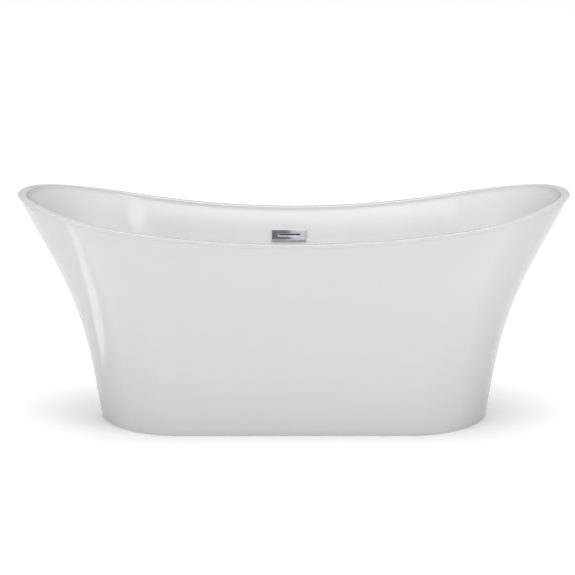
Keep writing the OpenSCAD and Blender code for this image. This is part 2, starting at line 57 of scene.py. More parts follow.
HALF_LENGTH, HALF_WIDTH, END_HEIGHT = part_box("inner_basin")[1]
SADDLE_DIP = 104 * MM           # from the ends of the rim down to its middle
SIDE_HEIGHT = END_HEIGHT - SADDLE_DIP
FLOOR_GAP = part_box("outer_skirt")[0][2]
BOARD_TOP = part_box("base_board")[1][2]
BASIN_WALL = 6 * MM
BASIN_FLOOR = BOARD_TOP + BASIN_WALL
SKIRT_WALL = 5 * MM
FOOT_FLANGE = 25 * MM
RIM_WIDTH = 28 * MM
RIM_OUTER_R = 3 * MM
RIM_INNER_R = 5 * MM
SEAM_S = 0.985                  # where on the flare the skirt ends and the rim begins
SEAM_GAP = 0.3 * MM
EDGE_S = 0.996                  # where the outer face of the rim starts to round over
SADDLE_FLAT = 0.073             # how much the saddle's curve flattens at the two ends
SADDLE_FLAT_POWER = 20
# Cubic curves of spread against height, both 0 to 1
SKIRT_CURVE = np.array([[0, 0], [0.214, 0.511], [0.364, 0.564], [1, 1]])
BASIN_CURVE = np.array([[0, 0], [0.60, 0], [0.30, 0.50], [1, 1]])

# A plan is half length, half width, half of the straight side, power of the ends
RIM = np.array([HALF_LENGTH, HALF_WIDTH, 500 * MM, 2.05])
BASE = np.array([604 * MM, 265 * MM, 374 * MM, 1.74])
FLOOR = np.array([440 * MM, 150 * MM, 300 * MM, 2.0])

OVERFLOW_X = -15 * MM           # the drain is at the same place along the tub
OVERFLOW_Z = 520 * MM
OVERFLOW_SCREW_X = 35 * MM      # from the middle of the plate to each screw
DRAIN_HOLE_R = 22.5 * MM

CAP_STEPS = 96                  # points round each end of a plan
SIDE_STEPS = 32                 # points along each side of a plan


def turn():
    """One turn round a plan, anticlockwise: side share, cosine and sine for each point."""
    rows = []
    for i in range(CAP_STEPS + 1):
        a = math.radians(-90 + 180 * i / CAP_STEPS)
        rows.append((1, math.cos(a), math.sin(a)))
    for i in range(1, SIDE_STEPS):
        rows.append((1 - 2 * i / SIDE_STEPS, 0, 1))
    for i in range(CAP_STEPS + 1):
        a = math.radians(90 + 180 * i / CAP_STEPS)
        rows.append((-1, math.cos(a), math.sin(a)))
    for i in range(1, SIDE_STEPS):
        rows.append((-1 + 2 * i / SIDE_STEPS, 0, -1))
    return np.array(rows)


TURN = turn()


def signed_power(values, power):
    """Power that keeps each value's sign."""
    return np.sign(values) * np.abs(values) ** power


def plan_xy(plan):
    """Points of a plan: two straight sides and two superellipse ends."""
    x = plan[2] * TURN[:, 0] + (plan[0] - plan[2]) * signed_power(TURN[:, 1], 2 / plan[3])
    y = plan[1] * signed_power(TURN[:, 2], 2 / plan[3])
    return np.stack([x, y], axis=1)


def rim_height(x):
    """Height of the saddle-shaped rim at a place along the tub."""
    u = np.abs(x) / HALF_LENGTH
    return SIDE_HEIGHT + (END_HEIGHT - SIDE_HEIGHT) * (
        (1 + SADDLE_FLAT) * u**2 - SADDLE_FLAT * u**SADDLE_FLAT_POWER)


def inset(plan, d):
    """The plan, drawn in by a distance."""
    return np.array([plan[0] - d, plan[1] - d, plan[2], plan[3]])


def mix(a, b, t):
    return a + (b - a) * t


RIM_TOP = rim_height(plan_xy(RIM)[:, 0])
RIM_INSIDE = inset(RIM, RIM_WIDTH)


def ring(plan, low, share, rise):
    """A closed ring on the plan, at a share of the way from low up to the rim, moved up by rise."""
    xy = plan_xy(plan)
    return np.column_stack([xy, mix(low, RIM_TOP, share) + rise])


def bezier(curve, s):
    """Point of a cubic curve at s, 0 to 1."""
    w = np.array([(1 - s) ** 3, 3 * s * (1 - s) ** 2, 3 * s * s * (1 - s), s**3])
    return w @ curve


def bezier_slope(curve, s):
    """Direction of a cubic curve at s."""
    d = np.diff(curve, axis=0) * 3
    return np.array([(1 - s) ** 2, 2 * s * (1 - s), s * s]) @ d


def skirt_ring(s, d, rise=0.0):
    """Ring at s on the skirt's flare, drawn in by d and moved up by rise."""
    c = bezier(SKIRT_CURVE, s)
    return ring(inset(mix(BASE, RIM, c[0]), d), FLOOR_GAP, c[1], rise)


def basin_ring(s, depth):
    """Ring at s on the basin's wall, a depth behind its inner face."""
    c = bezier(BASIN_CURVE, s)
    t = bezier_slope(BASIN_CURVE, s)
    run = np.array([t[0] * (RIM_INSIDE[1] - FLOOR[1]), t[1] * (SIDE_HEIGHT - BASIN_FLOOR)])
    n = run / np.linalg.norm(run)
    return ring(inset(mix(FLOOR, RIM_INSIDE, c[0]), -depth * n[1]), BASIN_FLOOR, c[1],
                -RIM_INNER_R * c[1] - depth * n[0])


# ---- Mesh tools ----


def new_object(name, verts, faces, material, smooth=True):
    """A linked object of one material, with its normals facing out."""
    mesh = bpy.data.meshes.new(name)
    mesh.from_pydata([tuple(v) for v in verts], [], [tuple(f) for f in faces])
    mesh.validate()
    mesh.update()
    obj = bpy.data.objects.new(name, mesh)
    bpy.context.collection.objects.link(obj)
    mesh.materials.append(material)
    bm = bmesh.new()
    bm.from_mesh(mesh)
    bmesh.ops.recalc_face_normals(bm, faces=bm.faces)
    bm.to_mesh(mesh)
    bm.free()
    if smooth:
        mesh.shade_smooth()
    return obj


def skin(rings, poles=(), closed=False):
    """Vertices and faces of a skin through rings of equal count, with a pole point at each open end."""
    count = len(rings[0])
    verts = np.concatenate(rings)
    faces = []
    bands = len(rings) if closed else len(rings) - 1
    for j in range(bands):
        low, high = j * count, ((j + 1) % len(rings)) * count
        for i in range(count):
            k = (i + 1) % count
            faces.append((low + i, low + k, high + k, high + i))
    for end, pole in enumerate(poles):
        first = 0 if end == 0 else (len(rings) - 1) * count
        verts = np.vstack([verts, pole])
        tip = len(verts) - 1
        for i in range(count):
            faces.append((tip, first + i, first + (i + 1) % count))
    return verts, faces


def cut(obj, cutters):
    """Cuts the cutters out of obj for good and removes them."""
    for c in cutters:
        mod = obj.modifiers.new("cut", "BOOLEAN")
        mod.object = c
        mod.operation = "DIFFERENCE"
        mod.solver = "EXACT"
        with bpy.context.temp_override(object=obj, active_object=obj):
            bpy.ops.object.modifier_apply(modifier=mod.name)
        bpy.data.objects.remove(c)


def arc(centre, radius, start, end, steps):
    """Points of an arc in a profile plane; angles in degrees."""
    return [(centre[0] + radius * math.cos(math.radians(start + (end - start) * i / steps)),
             centre[1] + radius * math.sin(math.radians(start + (end - start) * i / steps)))
            for i in range(steps + 1)]


def circle(radius, height, segments):
    """A level ring about Z."""
    a = np.linspace(0, 2 * math.pi, segments, endpoint=False)
    return np.column_stack([radius * np.cos(a), radius * np.sin(a), np.full(segments, height)])


def turned(profile, segments=48, closed=False):
    """Skin of a profile of (radius, height) turned about Z. Points on the axis become poles."""
    rings = [circle(r, z, segments) for r, z in profile if r >= AXIS]
    poles = [(0, 0, z) for r, z in profile if r < AXIS]
    return skin(rings, poles, closed)


def place(obj, at=(0, 0, 0), matrix=None):
    """Moves the mesh itself, so that the object stays at the origin."""
    move = Matrix.Translation(at)
    obj.data.transform(move @ matrix if matrix else move)


def corners(node):
    """Low and high corner of a node's box."""
    return tuple(Vector(c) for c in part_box(node))


def middle_xy(low, high):
    return (low[0] + high[0]) / 2, (low[1] + high[1]) / 2


# ---- Materials ----


class Nodes:
    """A short way to write a node material: coordinates, noise, ramps and the shader."""

    def __init__(self, name):
        self.material = bpy.data.materials.new(name)
        self.material.use_nodes = True
        self.tree = self.material.node_tree
        self.shader = self.tree.nodes["Principled BSDF"]
        self.where = self.tree.nodes.new("ShaderNodeTexCoord").outputs["Object"]

    def add(self, kind, **values):
        node = self.tree.nodes.new(kind)
        for key, value in values.items():
            setattr(node, key, value)
        return node

    def link(self, a, b):
        self.tree.links.new(a, b)

    def stretched(self, scale):
        node = self.add("ShaderNodeMapping")
        node.inputs["Scale"].default_value = scale
        self.link(self.where, node.inputs["Vector"])
        return node.outputs["Vector"]

    def noise(self, scale, detail=3, roughness=0.5, vector=None):
        node = self.add("ShaderNodeTexNoise")
        node.inputs["Scale"].default_value = scale
        node.inputs["Detail"].default_value = detail
        node.inputs["Roughness"].default_value = roughness
        self.link(vector or self.where, node.inputs["Vector"])
        return node.outputs["Fac"]

    def voronoi(self, scale, vector=None):
        node = self.add("ShaderNodeTexVoronoi", feature="F1")
        node.inputs["Scale"].default_value = scale
        self.link(vector or self.where, node.inputs["Vector"])
        return node.outputs["Distance"]

    def ramp(self, factor, stops):
        node = self.add("ShaderNodeValToRGB")
        ramp = node.color_ramp
        while len(ramp.elements) < len(stops):
            ramp.elements.new(0.5)
        for element, (position, colour) in zip(ramp.elements, stops):
            element.position = position
            element.color = (*colour, 1)
        self.link(factor, node.inputs["Fac"])
        return node.outputs["Color"]

    def facing(self):
        """0 where the surface faces the viewer, 1 where it is seen edge on."""
        return self.add("ShaderNodeLayerWeight").outputs["Facing"]

    def times(self, a, b):
        """Product of two colours."""
        node = self.add("ShaderNodeMix", data_type="RGBA", blend_type="MULTIPLY")
        node.inputs["Factor"].default_value = 1.0
        self.link(a, node.inputs[6])
        self.link(b, node.inputs[7])
        return node.outputs[2]

    def spread(self, factor, low, high):
        """A 0 to 1 value, spread over low to high."""
        node = self.add("ShaderNodeMapRange")
        node.inputs["To Min"].default_value = low
        node.inputs["To Max"].default_value = high
        self.link(factor, node.inputs["Value"])
        return node.outputs["Result"]

    def colour(self, socket):
        self.link(socket, self.shader.inputs["Base Color"])

    def rough(self, socket):
        self.link(socket, self.shader.inputs["Roughness"])

    def bump(self, height, strength, distance):
        node = self.add("ShaderNodeBump")
        node.inputs["Strength"].default_value = strength
        node.inputs["Distance"].default_value = distance
        self.link(height, node.inputs["Height"])
        self.link(node.outputs["Normal"], self.shader.inputs["Normal"])

    def set(self, **values):
        """Constants on the shader's own sockets."""
        for key, value in values.items():
            self.shader.inputs[key.replace("_", " ")].default_value = value


def shade(colour, factor):
    """The colour, darker or lighter by a factor."""
    return tuple(min(1.0, c * factor) for c in colour)


def acrylic(name):
    m = Nodes(name)
    white = (0.80, 0.80, 0.797)
    body = m.ramp(m.noise(1.7, 2), [(0.3, shade(white, 0.985)), (0.7, white)])
    # Painted shade: the white is multiplied down to 0.70 where the surface is seen edge on, so silhouettes
    # and grazing faces come out darker
    m.colour(m.times(body, m.ramp(m.facing(), [(0.35, (1, 1, 1)), (0.95, (0.70, 0.70, 0.705))])))
    m.rough(m.spread(m.noise(6, 4), 0.07, 0.12))
    m.set(IOR=1.49, Specular_IOR_Level=0.36)
    m.bump(m.noise(900, 2), 0.03, 0.0002)
    return m.material


def chrome(name):
    m = Nodes(name)
    m.colour(m.ramp(m.noise(40, 3), [(0.35, (0.53, 0.545, 0.575)), (0.65, (0.60, 0.615, 0.65))]))
    m.rough(m.spread(m.noise(160, 5, 0.6), 0.02, 0.06))
    m.set(Metallic=1.0)
    m.bump(m.noise(1500, 2), 0.02, 0.0001)
    return m.material


def brushed(name, colour):
    m = Nodes(name)
    m.colour(m.ramp(m.voronoi(260), [(0.1, shade(colour, 0.86)), (0.8, shade(colour, 1.1))]))
    m.rough(m.spread(m.noise(300, 4), 0.27, 0.44))
    m.set(Metallic=1.0)
    m.bump(m.noise(1200, 3), 0.06, 0.0002)
    return m.material


def powder_coat(name, colour):
    m = Nodes(name)
    m.colour(m.ramp(m.noise(25, 4), [(0.3, shade(colour, 0.85)), (0.7, shade(colour, 1.12))]))
    m.rough(m.spread(m.noise(80, 3), 0.38, 0.55))
    m.bump(m.noise(1400, 3), 0.2, 0.0004)
    return m.material


def plastic(name, colour, roughness):
    m = Nodes(name)
    m.colour(m.ramp(m.noise(18, 3), [(0.3, shade(colour, 0.93)), (0.7, shade(colour, 1.05))]))
    m.rough(m.spread(m.noise(120, 3), roughness - 0.06, roughness + 0.08))
    m.bump(m.noise(1100, 2), 0.12, 0.0003)
    return m.material


def rubber(name):
    m = Nodes(name)
    colour = (0.028, 0.028, 0.03)
    m.colour(m.ramp(m.noise(60, 5, 0.7), [(0.35, colour), (0.75, shade(colour, 2.2))]))
    m.rough(m.spread(m.noise(200, 3), 0.62, 0.82))
    m.bump(m.noise(1800, 2), 0.3, 0.0003)
    return m.material


def chipboard(name):
    m = Nodes(name)
    flakes = m.voronoi(190, vector=m.stretched((1.0, 2.6, 1.6)))
    m.colour(m.ramp(flakes, [(0.05, (0.30, 0.19, 0.10)), (0.35, (0.52, 0.37, 0.21)),
                             (0.7, (0.66, 0.50, 0.31))]))
    m.rough(m.spread(m.noise(90, 4), 0.6, 0.8))
    m.bump(m.noise(420, 4), 0.35, 0.0006)
    return m.material


ACRYLIC = acrylic("acrylic_gloss_white")
CHROME = chrome("polished_chrome")
ZINC = brushed("zinc_plated_steel", (0.60, 0.61, 0.62))
FRAME_PAINT = powder_coat("frame_powder_coat", (0.055, 0.058, 0.062))
BLACK_PLASTIC = plastic("black_nylon", (0.03, 0.03, 0.032), 0.5)
WHITE_PLASTIC = plastic("white_pipe_plastic", (0.80, 0.80, 0.78), 0.36)
HOSE_PLASTIC = plastic("grey_hose_plastic", (0.62, 0.63, 0.64), 0.4)
RUBBER = rubber("black_rubber")
BOARD = chipboard("reinforcing_board")

SLOT_MATERIAL = {
    "acrylic": ACRYLIC, "board": BOARD, "frame_paint": FRAME_PAINT, "zinc_steel": ZINC,
    "chrome": CHROME, "black_plastic": BLACK_PLASTIC, "white_plastic": WHITE_PLASTIC,
    "hose": HOSE_PLASTIC, "rubber": RUBBER}

for part in frame["record"]["subparts"]:
    node = frame["nodes"][part["node"]]
    node.data.materials.clear()
    node.data.materials.append(SLOT_MATERIAL[part["material_slot"]])


def add(piece, body, slot, *nodes):
    """Hands a piece to the frame: its body and the nodes it stands for. The slot argument is not used."""
    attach(piece, body)
    if nodes:
        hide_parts(*nodes)


# ---- The two shells ----


def curve_share(height):
    """Where on the basin curve the wall reaches a share of its height."""
    low, high = 0.0, 1.0
    for _ in range(40):
        mid = (low + high) / 2
        low, high = (mid, high) if bezier(BASIN_CURVE, mid)[1] < height else (low, mid)
    return (low + high) / 2


OVERFLOW_S = curve_share((OVERFLOW_Z - BASIN_FLOOR) / (SIDE_HEIGHT - RIM_INNER_R - BASIN_FLOOR))
OVERFLOW_Y = mix(FLOOR[1], RIM_INSIDE[1], bezier(BASIN_CURVE, OVERFLOW_S)[0])
OVERFLOW_SLOPE = bezier_slope(BASIN_CURVE, OVERFLOW_S)
OVERFLOW_LEAN = math.atan2(OVERFLOW_SLOPE[0] * (RIM_INSIDE[1] - FLOOR[1]),
                           OVERFLOW_SLOPE[1] * (SIDE_HEIGHT - RIM_INNER_R - BASIN_FLOOR))
# Frame on the wall: -Y points into the tub and +Z up the wall
ON_WALL = Matrix.Translation((OVERFLOW_X, OVERFLOW_Y, OVERFLOW_Z)) @ Matrix.Rotation(
    -OVERFLOW_LEAN, 4, "X")


def outer_skirt():
    """The flared shell, open at the top, with its foot flange turned in at the bottom."""
    steps, inner_steps = 44, 24
    foot_r = 1.5 * MM
    low = [skirt_ring(0, SKIRT_WALL, SKIRT_WALL), skirt_ring(0, FOOT_FLANGE, SKIRT_WALL),
           skirt_ring(0, FOOT_FLANGE), skirt_ring(0, foot_r)]
    foot = []
    for i in range(1, 4):
        a = math.radians(90 * i / 4)
        foot.append(skirt_ring(0, foot_r * (1 - math.sin(a)), foot_r * (1 - math.cos(a))))
    s0 = 0.002                  # just above the rounded foot
    up = [skirt_ring(s0 + (SEAM_S - s0) * i / steps, 0) for i in range(steps + 1)]
    down = [skirt_ring(SEAM_S * i / inner_steps, SKIRT_WALL) for i in range(inner_steps, 0, -1)]
    verts, faces = skin(low + foot + up + down, closed=True)
    obj = new_object("skirt_shell", verts, faces, ACRYLIC)
    obj.data.set_sharp_from_angle(angle=math.radians(40))
    return obj


def inner_rounding(radius, steps):
    """Insets and drops round the inner edge of the rim, from the top face down to the wall."""
    rows = []
    for i in range(steps, -1, -1):
        a = math.radians(90 * i / steps)
        rows.append((RIM_WIDTH - radius * (1 - math.cos(a)), -radius * (1 - math.sin(a))))
    return rows


def stadium_cutter(length, height, depth, at, steps=24):
    """A slot with round ends, placed across the wall."""
    points = []
    for side in (1, -1):
        for i in range(steps + 1):
            a = math.radians((-90 if side > 0 else 90) + 180 * i / steps)
            points.append((side * (length - height) / 2 + height / 2 * math.cos(a),
                           height / 2 * math.sin(a)))
    rings = [np.array([(x, y, z) for x, z in points]) for y in (-depth / 2, depth / 2)]
    verts, faces = skin(rings, [(0, -depth / 2, 0), (0, depth / 2, 0)])
    obj = new_object("cutter", verts, faces, ACRYLIC, smooth=False)
    place(obj, matrix=at)
    return obj


def inner_basin():
    """The basin with its rim, cut through for the drain, the overflow and its screws."""
    steps, under_steps = 56, 24
    drop = BASIN_WALL + RIM_INNER_R * 0.5
    under = [basin_ring(i / under_steps, BASIN_WALL) for i in range(under_steps)]
    lip = [ring(inset(RIM, RIM_WIDTH - BASIN_WALL), 0, 1, -drop),
           ring(inset(RIM, SKIRT_WALL + 1 * MM), 0, 1, -drop),
           skirt_ring(SEAM_S, SKIRT_WALL, SEAM_GAP), skirt_ring(SEAM_S, 0, SEAM_GAP)]
    flare = [skirt_ring(s, 0) for s in np.linspace(SEAM_S, EDGE_S, 6)[1:]]
    corner, inside = ring(RIM, 0, 1, 0), ring(inset(RIM, RIM_OUTER_R), 0, 1, 0)
    edge = flare + [mix(mix(flare[-1], corner, t), mix(corner, inside, t), t)
                    for t in np.linspace(0, 1, 8)[1:]]
    flat = [ring(inset(RIM, mix(RIM_OUTER_R, RIM_WIDTH - RIM_INNER_R, t)), 0, 1, 0)
            for t in (0.25, 0.5, 0.75)]
    brow = [ring(inset(RIM, d), 0, 1, z) for d, z in inner_rounding(RIM_INNER_R, 7)][:-1]
    wall = [basin_ring(i / steps, 0) for i in range(steps, -1, -1)]
    floor = [ring(inset(FLOOR, FLOOR[1] * t), BASIN_FLOOR, 0, 0) for t in (0.25, 0.5, 0.75)]
    verts, faces = skin(under + lip + edge + flat + brow + wall + floor,
                        [(0, 0, BOARD_TOP), (0, 0, BASIN_FLOOR)])
    obj = new_object("basin_shell", verts, faces, ACRYLIC)
    reach = 50 * MM
    plug = [(0, -reach), (DRAIN_HOLE_R, -reach), (DRAIN_HOLE_R, reach), (0, reach)]
    drain = new_object("drain_cutter", *turned(plug, 64), ACRYLIC)
    place(drain, (OVERFLOW_X, 0, BASIN_FLOOR))
    depth, screw_hole = 40 * MM, 4.4 * MM
    slot = stadium_cutter(60 * MM, 16 * MM, depth, ON_WALL)
    screw_holes = [stadium_cutter(screw_hole, screw_hole, depth,
                                  ON_WALL @ Matrix.Translation((x, 0, 0)), 8)
                   for x in (-OVERFLOW_SCREW_X, OVERFLOW_SCREW_X)]
    cut(obj, [drain, slot] + screw_holes)
    obj.data.shade_smooth()
    obj.data.set_sharp_from_angle(angle=math.radians(40))
    return obj


add(outer_skirt(), "tub", "acrylic", "outer_skirt")
add(inner_basin(), "tub", "acrylic", "inner_basin")


# ---- Overflow plate ----


def rounded_outline(half_x, half_z, radius, corner=10, long_side=24, short_side=6):
    """A rectangle with round corners, in X and Z. With radius = half_z it is a stadium."""
    points = []
    centres = [(1, 1, 0), (-1, 1, 90), (-1, -1, 180), (1, -1, 270)]
    for n, (sx, sz, start) in enumerate(centres):
        cx, cz = sx * (half_x - radius), sz * (half_z - radius)
        for i in range(corner + 1):
            a = math.radians(start + 90 * i / corner)
            points.append((cx + radius * math.cos(a), cz + radius * math.sin(a)))
        nx, nz, _ = centres[(n + 1) % 4]
        a = math.radians(start + 90)
        here = (cx + radius * math.cos(a), cz + radius * math.sin(a))
        there = (nx * (half_x - radius) + radius * math.cos(a),
                 nz * (half_z - radius) + radius * math.sin(a))
        gaps = long_side if n % 2 == 0 else short_side
        for i in range(1, gaps):
            points.append((mix(here[0], there[0], i / gaps), mix(here[1], there[1], i / gaps)))
    return np.array(points)


def outline_ring(half_x, half_z, radius, y):
    """The outline as a ring at a depth in the wall."""
    xz = rounded_outline(half_x, half_z, radius)
    return np.column_stack([xz[:, 0], np.full(len(xz), y), xz[:, 1]])


def overflow_plate():
    """Flat bar with chamfered edges and a slot that sits in a shallow dish."""
    half_x, half_z = 56 * MM, 18 * MM
    back, front = -2.1 * MM, -10.1 * MM
    chamfer = 1.6 * MM
    slot_x, slot_z = 34 * MM, 2.25 * MM
    dish, dish_depth, dish_steps = 2.6 * MM, 2.2 * MM, 8
    rows = [(slot_x, slot_z, slot_z, back), (slot_x, slot_z, slot_z, front + dish_depth + 0.4 * MM)]
    for i in range(dish_steps + 1):
        a = math.radians(90 * i / dish_steps)
        grow = 0.3 * MM + (dish - 0.3 * MM) * (1 - math.cos(a))
        depth = dish_depth * (1 - math.sin(a)) if i else dish_depth
        rows.append((slot_x + grow, slot_z + grow, slot_z + grow, front + depth))
    grow = dish + 0.5 * MM
    rows.append((slot_x + grow, slot_z + grow, slot_z + grow, front))
    rows.append((slot_x + grow + 1.5 * MM, slot_z + grow + 1.5 * MM, slot_z + grow, front))
    inner = chamfer + 0.35 * MM
    # Inset from the edge, corner radius, depth; the first two rows keep the face flat to its edge
    for edge, radius, y in ((inner + 0.5 * MM, 1.0 * MM, front),
                            (inner, 1.0 * MM, front),
                            (chamfer, 1.0 * MM, front + 0.06 * MM),
                            (chamfer - 0.3 * MM, 1.0 * MM, front + 0.3 * MM),
                            (0.4 * MM, 1.2 * MM, front + chamfer - 0.4 * MM),
                            (0, 1.3 * MM, front + chamfer + 0.3 * MM),
                            (0, 1.3 * MM, back - 0.3 * MM),
                            (0.4 * MM, 1.2 * MM, back)):
        rows.append((half_x - edge, half_z - edge, radius, y))
    verts, faces = skin([outline_ring(*row) for row in rows], closed=True)
    obj = new_object("overflow_faceplate", verts, faces, CHROME)
    obj.data.set_sharp_from_angle(angle=math.radians(18))
    place(obj, matrix=ON_WALL)
    return obj


add(overflow_plate(), "tub", "chrome", "overflow_plate")

# ---- Rounded copies of the plain hardware ----


def copy_of(node, name):
    """A new piece with the node's mesh, its split corners joined and its flat faces made whole."""
    mesh = frame["nodes"][node].data.copy()
    obj = bpy.data.objects.new(name, mesh)
    bpy.context.collection.objects.link(obj)
    bm = bmesh.new()
    bm.from_mesh(mesh)
    bmesh.ops.remove_doubles(bm, verts=bm.verts, dist=2e-6)
    bmesh.ops.dissolve_limit(bm, angle_limit=math.radians(0.5), verts=bm.verts, edges=bm.edges)
    return obj, bm


SLOTS = {part["node"]: part["material_slot"] for part in frame["record"]["subparts"]}


def rounded(node, width):
    """Puts a copy of a node in its place, with its sharp edges rounded off."""
    obj, bm = copy_of(node, node + "_rounded")
    edges = [e for e in bm.edges if len(e.link_faces) == 2
             and e.calc_face_angle() > math.radians(35)]
    bmesh.ops.bevel(bm, geom=edges, offset=width, segments=2, profile=0.5,
                    affect="EDGES", clamp_overlap=True)
    bm.to_mesh(obj.data)
    bm.free()
    obj.data.shade_smooth()
    obj.data.set_sharp_from_angle(angle=math.radians(38))
    add(obj, body_of(node), SLOTS[node], node)


def body_of(node):
    """The body that the record gives a node."""
    for body, nodes in frame["record"]["behaviour"]["bodies"].items():
        if node in nodes:
            return body
    raise ValueError(node)


ROUNDING_MM = {
    "base_board": 0.8, "rail_end_caps": 0.9, "foot_brackets": 1.0, "weld_nuts": 0.7,
    "lock_nuts": 0.7, "skirt_clips": 0.9, "drain_seal": 0.6, "waste_body": 0.8,
    "outlet_pipe": 0.5, "outlet_nut": 0.7, "outlet_washer": 0.6, "stopper_stem": 0.4,
    "stopper_cartridge": 0.4, "overflow_front_seal": 0.5, "overflow_back_seal": 0.5,
    "overflow_body": 1.2, "hose_nut": 0.9, "hose_clamp": 0.3}
for node_name, width_mm in ROUNDING_MM.items():
    rounded(node_name, width_mm * MM)


# ---- Sweeps: hose, welds ----


def sweep(points, radii, sides, up):
    """Rings along points, with a radius at each."""
    points = [Vector(p) for p in points]
    rings = []
    for i, p in enumerate(points):
        ahead = points[min(i + 1, len(points) - 1)] - points[max(i - 1, 0)]
        ahead.normalize()
        side = ahead.cross(Vector(up)).normalized()
        over = side.cross(ahead)
        rings.append(np.array([p + radii[i] * (math.cos(a) * side + math.sin(a) * over)
                               for a in np.linspace(0, 2 * math.pi, sides, endpoint=False)]))
    return rings


def join(name, parts, material):
    """One object from several (verts, faces) lists."""
    verts, faces = [], []
    for v, f in parts:
        shift = len(verts)
        verts += [tuple(p) for p in v]
        faces += [tuple(i + shift for i in face) for face in f]
    return new_object(name, verts, faces, material)


HOSE_R = 13 * MM
HOSE_WALL = 2.5 * MM
HOSE_LEAN = math.radians(15)
HOSE_BEND = 60 * MM
HOSE_TOP = 34 * MM
BODY_MID = 20 * MM              # from the inner face of the basin wall to the middle of the body


def overflow_hose():
    """Corrugated hose: level out of the waste, round one bend and up to the overflow body."""
    low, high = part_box("overflow_hose")
    level = low[2] + HOSE_R
    body_y = OVERFLOW_Y + BODY_MID * math.cos(OVERFLOW_LEAN)
    body_z = OVERFLOW_Z - BODY_MID * math.sin(OVERFLOW_LEAN)
    corner = body_y - (body_z - level) * math.tan(HOSE_LEAN)
    turn = math.pi / 2 - HOSE_LEAN
    reach = HOSE_BEND * math.tan(turn / 2)
    route = [(low[1], level)]
    for i in range(13):
        a = turn * i / 12
        route.append((corner - reach + HOSE_BEND * math.sin(a),
                      level + HOSE_BEND * (1 - math.cos(a))))
    route.append((body_y - HOSE_TOP * math.sin(HOSE_LEAN), body_z - HOSE_TOP * math.cos(HOSE_LEAN)))
    route = np.array(route)
    lengths = np.concatenate([[0], np.cumsum(np.linalg.norm(np.diff(route, axis=0), axis=1))])
    total = lengths[-1]
    pitch, groove = 4.4 * MM, 1.7
    cuff = 24 * MM
    stations, radii = [0.0, cuff], [HOSE_R, HOSE_R]
    at = cuff
    while at + pitch < total - cuff:
        for share, drop in ((0.15, 0.0), (0.40, 0.0), (0.55, groove), (0.85, groove)):
            stations.append(at + pitch * share)
            radii.append(HOSE_R - drop * MM)
        at += pitch
    stations += [total - cuff, total]
    radii += [HOSE_R, HOSE_R]
    points = [(OVERFLOW_X, np.interp(s, lengths, route[:, 0]), np.interp(s, lengths, route[:, 1]))
              for s in stations]
    outside = sweep(points, radii, 40, (1, 0, 0))
    inside = sweep(points, [r - HOSE_WALL * 0.6 for r in radii], 40, (1, 0, 0))
    verts, faces = skin(outside + inside[::-1], closed=True)
    return new_object("overflow_hose_corrugated", verts, faces, HOSE_PLASTIC)


add(overflow_hose(), "tub", "hose", "overflow_hose")


def round_square(half, radius):
    return rounded_outline(half, half, radius, 6, 2, 2)


def square_tube(node, name):
    """Rolled steel tube with round corners, in place of a node's square one."""
    low, high = corners(node)
    along = 0 if high[0] - low[0] > high[1] - low[1] else 1
    across = 1 - along
    half = (high[across] - low[across]) / 2
    middle = (low + high) / 2
    wall = 2 * MM
    rings = []
    for outline, ends in ((round_square(half, 4 * MM), (low[along], high[along])),
                          (round_square(half - wall, 2.2 * MM), (high[along], low[along]))):
        for end in ends:
            ring_points = np.zeros((len(outline), 3))
            ring_points[:, along] = end
            ring_points[:, across] = middle[across] + outline[:, 0]
            ring_points[:, 2] = middle[2] + outline[:, 1]
            rings.append(ring_points)
    verts, faces = skin(rings, closed=True)
    obj = new_object(name, verts, faces, FRAME_PAINT)
    obj.data.set_sharp_from_angle(angle=math.radians(40))
    return obj


CROSS_RAILS = ("cross_rail_left", "cross_rail_mid_left", "cross_rail_mid_right", "cross_rail_right")
for rail in ("frame_rail_front", "frame_rail_back") + CROSS_RAILS:
    add(square_tube(rail, rail + "_tube"), "tub", "frame_paint", rail)


def bead(start, end, radius):
    """A weld bead: a row of overlapping ripples between two points."""
    start, end = Vector(start), Vector(end)
    ripples = max(3, int((end - start).length / (2.2 * MM)))
    steps = ripples * 4
    points = [start.lerp(end, i / steps) for i in range(steps + 1)]
    radii = [radius * (0.82 + 0.18 * abs(math.sin(math.pi * i / 4))) * (0.3 if i in (0, steps) else 1)
             for i in range(steps + 1)]
    up = (1, 0, 0) if abs((end - start).normalized()[0]) < 0.5 else (0, 0, 1)
    rings = sweep(points, radii, 8, up)
    return skin(rings, [tuple(start), tuple(end)])


def welds():
    """Beads at both ends of the cross rails and along the foot brackets."""
    beads = []
    size = 2.2 * MM
    for rail in CROSS_RAILS:
        low, high = corners(rail)
        for y in (low[1], high[1]):
            for x in (low[0], high[0]):
                beads.append(bead((x, y, low[2] + 2 * MM), (x, y, high[2] - 4 * MM), size))
            beads.append(bead((low[0] + 3 * MM, y, low[2]), (high[0] - 3 * MM, y, low[2]), size))
    long_high = corners("frame_rail_back")[1]
    low, high = corners("foot_brackets")
    length = 60 * MM
    for x in (low[0], high[0] - length):
        for side in (1, -1):
            y = side * long_high[1]
            beads.append(bead((x + 3 * MM, y, high[2]), (x + length - 3 * MM, y, high[2]), size))
    return join("frame_welds", beads, FRAME_PAINT)


add(welds(), "tub", "frame_paint")


# ---- Screw feet ----

THREAD_PITCH = 1.75 * MM
THREAD_DEPTH = 0.95 * MM
STUD_R = 6 * MM


